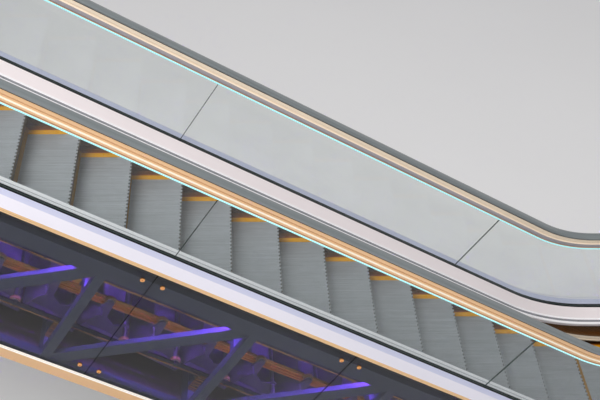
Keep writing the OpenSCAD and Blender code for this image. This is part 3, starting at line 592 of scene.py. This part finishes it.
def edge_finishes():
    """Nodes with more than one finish: plated lips, outer decks' flats in painted shade, a painted highlight
    on the trims' top edges, the guides' profiles with painted shade on top and painted reflections on their
    inner faces, and the lamps' housings.
    """
    plated = worked("lip_bronze", linear(226, 188, 138), 0.3, 0.35)
    # Near-white for the trims' top edges: a painted highlight.
    bright = worked("trim_edge_highlight", linear(255, 250, 240), 0.3, 0.0, vary=0.02, rub=0.02, bump=0.00001)
    # A darker lilac copy of the outer deck's white for its flat top by the glass: painted shade.
    flat = worked("outer_deck_flat_shade", linear(213, 214, 240), 0.36, 0.1, vary=0.02)
    # Dark brown for the guide's top faces under the belt: painted shade.
    channel_shade = worked("guide_channel_shade", linear(58, 42, 30), 0.5)
    # Warm and grey-violet tones for the guides' inner faces: painted reflections.
    peach_reflection = worked("guide_peach_reflection", linear(255, 236, 212), 0.3, 0.1)
    mauve_reflection = worked("guide_mauve_reflection", linear(182, 176, 182), 0.35, 0.3)
    holder = worked("light_holder", linear(214, 172, 140), 0.35, 0.3)
    housing = worked("lamp_housing", linear(170, 170, 174), 0.4, 0.8, (0.5, 0.004, 0.004))
    line = guide_places()

    def deck(at, normal):
        if abs(at.y) > HALF_W - LIP_T and abs(normal.y) > 0.8:
            return plated
        # The flat top by the glass takes the painted shade.
        return flat if abs(at.y) < GLASS_Y + FLAT_W and abs(normal.y) < 0.3 else None

    # The trim's top edge takes the painted highlight.
    def trim(at, normal):
        return bright if below_nose_line(at.x, at.z) < TRIM_TOP else None

    def guide(at, normal):
        up = height_over(line, at.x, at.z)
        # Top faces under the belt take the painted shade.
        if up > CHANNEL_UP and abs(normal.y) < 0.5:
            return channel_shade
        # Inner faces take painted reflections, the warm one above the shoulder.
        if abs(at.y) > GLASS_Y:
            return None
        return peach_reflection if up > SHOULDER_UP else mauve_reflection

    def light(at, normal):
        up = height_over(line, at.x, at.z)
        return holder if up > LIGHT_H / 2 and abs(normal.y) < 0.9 else None

    def lamp(at, normal):
        return None if normal.z < -0.5 else housing

    for side in (0, 1):
        repaint(pair("outer_deck")[side], deck)
        repaint(pair("bottom_trim")[side], trim)
        repaint(pair("handrail_guide")[side], guide)
        repaint(pair("handrail_light")[side], light)
    repaint("truss_lights", lamp)


# Steps
def nose_places():
    """Where each step on top has its nose, as (x, z) from the lowest up: every pitch along the nose line."""
    low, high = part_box("step_lines")
    start = (low[0], LOW_Z + RISE, 0.0)
    legs = down_legs(low[0], high[0], STEP_RADII)
    s = path_length(legs)
    places = []
    while s > TREAD / 2:
        x, z, _ = along(start, legs, s)
        places.append((x, z))
        s -= PITCH
    return places


def cleat_lines():
    count = int((STEP_W / 2 - CLEAT_W) / CLEAT_PITCH)
    return [k * CLEAT_PITCH for k in range(-count, count + 1)]


def riser_outline(proud, first):
    """A cleat down the riser from its first turn, as (x, z) from the nose: its face, then its back."""
    turns = [first + (RISER_TURN - first) * k / RISER_PARTS for k in range(RISER_PARTS + 1)]
    face = [((TREAD + proud) * cos(t) - TREAD, -(TREAD + proud) * sin(t)) for t in turns]
    back = [((TREAD - RISER_SUNK) * cos(t) - TREAD, -(TREAD - RISER_SUNK) * sin(t)) for t in turns]
    return face + back[::-1]


def bar_outline(start, end, low):
    return [(start, 0.0), (end, 0.0), (end, low), (start, low)]


def cleat(outline, x, z, y, width=CLEAT_W):
    return prism([(x + a, z + b) for a, b in outline], y - width / 2, y + width / 2)


def step_cleats():
    """Cleats run to the nose two by two and stop short of it two by two, which makes its edge toothed."""
    grey = cleat_metal("cleat_grey", STEP_GREY, 0.7)
    # The riser cleats' dark warm brown is painted shade with a painted reflection of the yellow lines.
    dark = cleat_metal("riser_shade_and_reflection", linear(126, 110, 86), 0.5)
    yellow = cleat_metal("cleat_yellow", YELLOW, 0.0, 0.05)
    # Brown cleats along the skirts: painted shade.
    skirt_shade = cleat_metal("cleat_skirt_shade", linear(142, 78, 8), 0.0)
    treads, risers, lines, edges = [], [], [], []
    floor = -GROOVE - CLEAT_SUNK
    line_floor = -GROOVE + LINE_UP
    line_end = LINE_W - TREAD
    places = [(x, z, k, y) for x, z in nose_places() for k, y in enumerate(cleat_lines())]
    for x, z, k, y in places:
        whole = k % 4 < 2
        tip = NOSE_PROUD if whole else -NOSE_BACK
        from_edge = STEP_W / 2 - abs(y)
        if from_edge < LINE_SHOWN:
            outline = bar_outline(-TREAD, min(tip, 0.0), line_floor if from_edge < LINE_W else floor)
            # Cleats by the skirts take the painted shade.
            if from_edge < SKIRT_SHADE_W:
                edges.append(cleat(outline, x, z, y, SKIRT_SHADE_CLEAT_W))
            else:
                lines.append(cleat(outline, x, z, y, LINE_CLEAT_W))
        else:
            treads.append(cleat(bar_outline(line_end, tip, floor), x, z, y))
            lines.append(cleat(bar_outline(-TREAD, line_end - CLEAT_BREAK, line_floor), x, z, y))
        first = (RISER_BREAK - floor if whole else NOSE_DOWN) / TREAD
        risers.append(cleat(riser_outline(NOSE_PROUD if whole else RISER_PROUD, first), x, z, y))
    add_piece("tread_cleats", joined(treads), grey)
    add_piece("riser_cleats", joined(risers), dark)
    add_piece("line_cleats", joined(lines), yellow)
    add_piece("edge_cleats", joined(edges), skirt_shade)


def line_finishes():
    """The lines' plates: darker than the cleats on them, and brown along the skirts as painted shade."""
    paint(worked("line_yellow", shade(YELLOW, 0.6), 0.5, tilt=0), "step_lines")
    # The plates' strip by the skirts is brown: painted shade.
    skirt_shade_plate = worked("line_skirt_shade", linear(110, 62, 10), 0.5, tilt=0)
    repaint("step_lines", lambda at, normal: skirt_shade_plate if abs(at.y) > STEP_W / 2 - LINE_W else None)


# Handrail
def belt_section(side):
    """The belt's rounded C, as (y, n): its inner channel, its lip and its top, and the same mirrored."""
    channel = [(0.0, 0.0135), (0.0255, 0.0135), (0.0262, 0.0125), (0.0262, 0.0045), (0.0255, 0.0038),
               (0.0188, 0.0032), (0.018, 0.0022), (0.018, -0.0008)]
    lip = [(0.0195, -0.002), (0.0265, -0.002), (0.0315, 0.0008), (0.0338, 0.0055), (0.034, 0.0105)]
    top = [(0.0318, 0.0158), (0.027, 0.0194), (0.0185, 0.0213), (0.0092, 0.0219), (0.0, 0.022)]
    right = channel + lip + top
    left = [(-y, n) for y, n in right[-2:0:-1]]
    return [(side * GLASS_Y + y, n) for y, n in right + left]


def belt_places():
    """The belt's loop: over the guide, round both newels and back under the deck."""
    x_low, x_up = newel_middles()
    r = NEWEL_R + BELT_UP
    top_radii = (RAIL_RADII[0] + BELT_UP, RAIL_RADII[1] - BELT_UP)
    drop = GUIDE_UP - NEWEL_R - r * cos(DIVE) - RETURN_UP - DIVE_R * (1 - cos(DIVE))
    dive_len = drop / sin(DIVE)
    inset = -r * sin(DIVE) + dive_len * cos(DIVE) + DIVE_R * sin(DIVE)
    level = LOW_Z + GUIDE_UP + BELT_UP
    back = LOW_Z + RETURN_UP
    half_turn = (r, -(pi - DIVE))
    top = trace((x_up, RISE + level, 0.0), down_legs(x_up, x_low, top_radii, -LEAD + BELT_UP * BEND))
    round_low = trace((x_low, level, 0.0), [half_turn, (dive_len, 0), (DIVE_R, -DIVE)])
    under = trace((x_low - inset, back, pi), up_legs(x_low - inset, x_up + inset, DECK_RADII, -LEAD))
    round_up = trace((x_up + inset, RISE + back, pi), [(DIVE_R, -DIVE), (dive_len, 0), half_turn])
    return top[:-1] + round_low[:-1] + under[:-1] + round_up[:-1]


def handrails():
    rubber = worked("handrail_rubber", RUBBER, 0.3, 0.0, (0.002, 0.002, 0.002), (0.5, 0.02, 0.3), 0.12,
                    0.1, 0.00002, Coat_Weight=0.25, Coat_Roughness=0.25)
    places = belt_places()
    for name, side in (("near", -1), ("far", 1)):
        loop = sweep(places, belt_section(side), closed=True)
        belt = add_piece("belt_" + name, loop, rubber, smooth=True)
        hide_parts("handrail_" + name)


def guide_highlight_beads():
    """A pale bead along the outer face of each guide, below its shoulder, with rounded edges: a painted
    highlight of the shine on the shoulder.
    """
    cream_highlight = worked("guide_cream_highlight", linear(255, 243, 220), 0.26, 0.0, vary=0.01)
    low, high = BEAD_UP
    face, crown = BEAD_OUT
    shoulder = crown - 0.0004
    edge = (high - low) * 0.22
    profile = [(face, low), (face, high), (shoulder, high - edge / 2), (crown, high - edge),
               (crown, low + edge), (shoulder, low + edge / 2)]
    section = [(-(GLASS_Y + y), n) for y, n in profile]
    add_piece("guide_highlight_beads", on_both_sides([sweep(guide_places(), section)]), cream_highlight)


# Fixings
def cap_profile():
    """A cladding bolt's round cap with its socket, as (radius, height)."""
    r, h = BOLT_R, BOLT_OUT
    return [(r * 0.6, -BOLT_SUNK), (r, -BOLT_SUNK), (r, h * 0.55), (r * 0.93, h * 0.85), (r * 0.78, h),
            (r * 0.34, h), (r * 0.3, h * 0.6), (SOCKET_R, h * 0.6)]


def cladding_bolts():
    """Caps in fours at each joint of the side glass."""
    copper = worked("bolt_copper", linear(222, 164, 104), 0.22, 0.95, (0.006, 0.006, 0.006),
                    (0.02, 0.02, 0.02), 0.1)
    places = []
    s = SIDE_JOINT_FIRST
    while s < SLANT - SIDE_JOINT_PITCH / 2:
        places += [slope_point(s + way * BOLT_FROM_JOINT, d) for way in (-1, 1) for d in BOLT_DEPTHS]
        s += SIDE_JOINT_PITCH
    near = [revolve(cap_profile(), (x, -(SIDE_Y + SIDE_GLASS_T), z), (0, -1, 0)) for x, z in places]
    add_piece("cladding_bolts", on_both_sides(near), copper)


def screw_profile(r, h):
    """A screw's head with its socket, as (radius, height)."""
    return [(r * 0.45, 0.0), (r, 0.0), (r, h * 0.6), (r * 0.84, h), (r * 0.42, h), (r * 0.36, h * 0.45),
            (r * 0.05, h * 0.45)]


def deck_edges():
    """The strip, nosing, seal and screws along both inner decks."""
    steel = worked("screw_steel", linear(120, 116, 112), 0.3, 0.9, (0.002, 0.002, 0.002),
                   (0.01, 0.01, 0.01), 0.1)
    white = worked("nosing_white", linear(252, 249, 252), 0.32, 0.0, vary=0.01)
    # The seal's grey is painted shade of the deck's groove.
    dark = worked("seal_groove_shade", linear(136, 136, 142), 0.5, 0.0, (0.05, 0.003, 0.003), vary=0.08)
    low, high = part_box("inner_deck_near")
    start = (low[0], LOW_Z + RISE + DECK_UP, 0.0)
    legs = down_legs(low[0], high[0], DECK_RADII, -LEAD)
    places = trace(start, legs)

    def carried(section):
        return sweep(places, [(off - GLASS_Y, -down) for off, down in section[::-1]])

    add_piece("deck_nosings", on_both_sides([carried(STRIP), carried(NOSING)]), white)
    add_piece("deck_seals", on_both_sides([carried(SEAL)]), dark)
    off, down = ((SEAL[1][k] + SEAL[2][k]) / 2 for k in (0, 1))
    screws = []
    for k in range(1, int(path_length(legs) / SCREW_PITCH)):
        p = along(start, legs, k * SCREW_PITCH)
        x, z = beside(p, -down)
        axis = (-sin(p[2]) * cos(SEAL_TILT), sin(SEAL_TILT), cos(p[2]) * cos(SEAL_TILT))
        screws.append(revolve(screw_profile(SCREW_R, SCREW_H), (x, off - GLASS_Y, z), axis, 12))
    add_piece("deck_screws", on_both_sides(screws), steel)


def roller_places(face_y):
    """Middles (x, z) of the rollers whose outer face stands at face_y, found from the CAD node's points."""
    found = []
    for vertex in NODES["step_rollers"].data.vertices:
        x, y, z = vertex.co
        if abs(y - face_y) > FACE_REACH:
            continue
        for group in found:
            if abs(group[0] - x) < ROLLER_REACH and abs(group[2] - z) < ROLLER_REACH:
                group[0], group[1] = min(group[0], x), max(group[1], x)
                group[2], group[3] = min(group[2], z), max(group[3], z)
                break
        else:
            found.append([x, x, z, z])
    return [((a + b) / 2, (c + d) / 2) for a, b, c, d in found]


def roller_hubs():
    steel = worked("hub_steel", linear(214, 214, 218), 0.25, 0.9, (0.004, 0.004, 0.004),
                   (0.02, 0.02, 0.02), 0.08)
    faces_y = sorted({round(v.co[1], 4) for v in NODES["step_rollers"].data.vertices if v.co[1] < 0})
    outer_faces = faces_y[::2]
    near = []
    for y in outer_faces:
        for x, z in roller_places(y):
            near.append(revolve(HUB_RING, (x, y, z), (0, -1, 0), closed=True))
            near.append(revolve(HUB_CAP, (x, y, z), (0, -1, 0), 16))
    add_piece("roller_hubs", on_both_sides(near), steel)


# Landings
def rib_stretches(at):
    """Where a rib runs from a distance to the landing's end, as a pair of distances for each panel."""
    stretches = []
    while at > RIB_LEAST:
        size = PANEL_LEN if at > PANEL_LEN * 1.3 else at - PANEL_RIM
        stretches.append((at, at - size))
        at -= size + PANEL_JOINT
    return stretches


def rib(x0, x1, y, z):
    section = [(-RIB_W / 2, 0.0), (-RIB_W * 0.3, RIB_UP), (RIB_W * 0.3, RIB_UP), (RIB_W / 2, 0.0),
               (RIB_W / 2, -RIB_SUNK), (-RIB_W / 2, -RIB_SUNK)]
    ends = (max(x0, x1), min(x0, x1))
    return [(x, y + a, z + b) for x in ends for a, b in section], skin(2, len(section))


def floor_ribs():
    """Ribs run along the travel, broken at the joints and frames of the floor's panels."""
    ribs = []
    floors, combs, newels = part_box("floor_plates"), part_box("comb_plates"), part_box("newel_bases")
    count = int(HALF_W / RIB_PITCH)
    for side, way, z in ((1, 1, LOW_Z + FLOOR_UP), (0, -1, LOW_Z + RISE + FLOOR_UP)):
        end = floors[side][0]
        for y in [k * RIB_PITCH for k in range(-count, count + 1)]:
            if abs(y) > HALF_W - SIDE_RIM or abs(abs(y) - SKIRT_Y) < SKIRT_RIM:
                continue
            front = (newels if abs(y) > SKIRT_Y else combs)[side][0]
            for far, close in rib_stretches(abs(front - end) - PANEL_FRONT):
                ribs.append(rib(end - way * far, end - way * close, y, z))
    steel = worked("rib_steel", linear(200, 200, 202), 0.3, 0.85, (0.2, 0.003, 0.003), tilt=0)
    add_piece("floor_ribs", joined(ribs), steel)


# Brushes
def tuft(p):
    """Bristles under the holder at a place, from their ends up the slope to those down it."""
    points = []
    for way in (1, -1):
        for y, n, half in TUFT_ROWS:
            lean = way * half
            x, z = beside((p[0] + lean * cos(p[2]), p[1] + lean * sin(p[2]), p[2]), n)
            points.append((x, -y, z))
    return points, skin(2, len(TUFT_ROWS))


def bristles():
    black = worked("bristle_black", (0.024, 0.015, 0.008, 1), 0.5, 0.0, (0.002, 0.002, 0.01),
                   (0.02, 0.02, 0.02), 0.3)
    low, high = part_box("skirt_brushes")
    x_up, x_low = low[0] + BRUSH_END, high[0] - BRUSH_END
    start = (x_up, LOW_Z + RISE, 0.0)
    legs = down_legs(x_up, x_low, STEP_RADII)
    tufts = [tuft(along(start, legs, k * TUFT_PITCH)) for k in range(int(path_length(legs) / TUFT_PITCH))]
    add_piece("brush_bristles", on_both_sides(tufts), black)


# The studio
def backdrop():
    low, high = (Vector(corner) for corner in CAD_BOX)
    middle = (low + high) / 2
    corners = [
        (middle[0] + a * FLOOR_REACH, middle[1] + b * FLOOR_REACH, low[2] - FLOOR_GAP)
        for a, b in ((-1, -1), (1, -1), (1, 1), (-1, 1))
    ]
    mesh = bpy.data.meshes.new("studio_floor")
    mesh.from_pydata(corners, [], [(0, 1, 2, 3)])
    floor = bpy.data.objects.new("studio_floor", mesh)
    bpy.context.scene.collection.objects.link(floor)
    pale = worked("floor_pale", (0.90, 0.90, 0.91, 1), 0.8, 0.0, (0.3, 0.3, 0.3), (3, 3, 3), 0.01, tilt=0)
    mesh.materials.append(pale)


def soft_light(name, at, aim, size, watts, colour):
    data = bpy.data.lights.new(name, "AREA")
    data.shape = "DISK"
    data.size = size
    data.energy = watts
    data.color = colour
    lamp = bpy.data.objects.new(name, data)
    lamp.location = at
    lamp.rotation_euler = (Vector(aim) - Vector(at)).to_track_quat("-Z", "Y").to_euler()
    bpy.context.scene.collection.objects.link(lamp)


def studio():
    """Two soft lamps in a grey room, whose walls look pale to the camera and in mirrors and glass."""
    world = bpy.data.worlds.new("studio_world")
    world.use_nodes = True
    bpy.context.scene.world = world
    tree = world.node_tree
    tree.nodes.clear()
    way = shader_node(tree, "SeparateXYZ", Vector=shader_node(tree, "TexCoord").outputs["Generated"])
    up, right = way.outputs["Z"], way.outputs["X"]
    darker = spread(tree, right, 0, 1, 0.05, 0.4)
    high = blend_colours(tree, darker, (0.72, 0.71, 0.70, 1), (0.22, 0.23, 0.24, 1))
    sky = blend_colours(tree, spread(tree, up, 0, 1, -0.1, 0.9), (0.34, 0.35, 0.38, 1), high)
    pale = blend_colours(tree, spread(tree, up, 0, 1, 0.1, 0.5), (0.95, 0.95, 0.96, 1), high)
    path = shader_node(tree, "LightPath").outputs
    mirror = maths(tree, "MAXIMUM", path["Is Glossy Ray"], path["Is Transmission Ray"])
    seen = maths(tree, "MAXIMUM", path["Is Camera Ray"], mirror)
    back = shader_node(tree, "Background", Color=blend_colours(tree, seen, sky, pale), Strength=0.9)
    shader_node(tree, "OutputWorld", Surface=back.outputs["Background"])
    aim = (-5.2, 0.0, 1.5)
    soft_light("key_light", (-9.0, -5.0, 13.0), aim, 6.0, 1150, (1.0, 0.97, 0.95))
    soft_light("front_light", (-7.0, -8.5, 9.0), aim, 6.0, 250, (1.0, 0.98, 0.96))


def camera():
    """Where the photograph was taken, as fitted to the step noses, with its verticals kept."""
    data = bpy.data.cameras.new("camera")
    data.sensor_width = 36.0
    data.lens = 63.83
    data.shift_x = 0.1363
    data.clip_end = 200
    eye = bpy.data.objects.new("camera", data)
    eye.location = (-5.2213, -5.4886, 6.6926)
    eye.rotation_euler = (radians(50.0), 0, 0)
    bpy.context.scene.collection.objects.link(eye)
    bpy.context.scene.camera = eye


camera()
studio()
backdrop()
cad_materials()
edge_finishes()
line_finishes()
step_cleats()
handrails()
guide_highlight_beads()
cladding_bolts()
deck_edges()
roller_hubs()
floor_ribs()
bristles()
bpy.context.scene.view_settings.view_transform = "Standard"
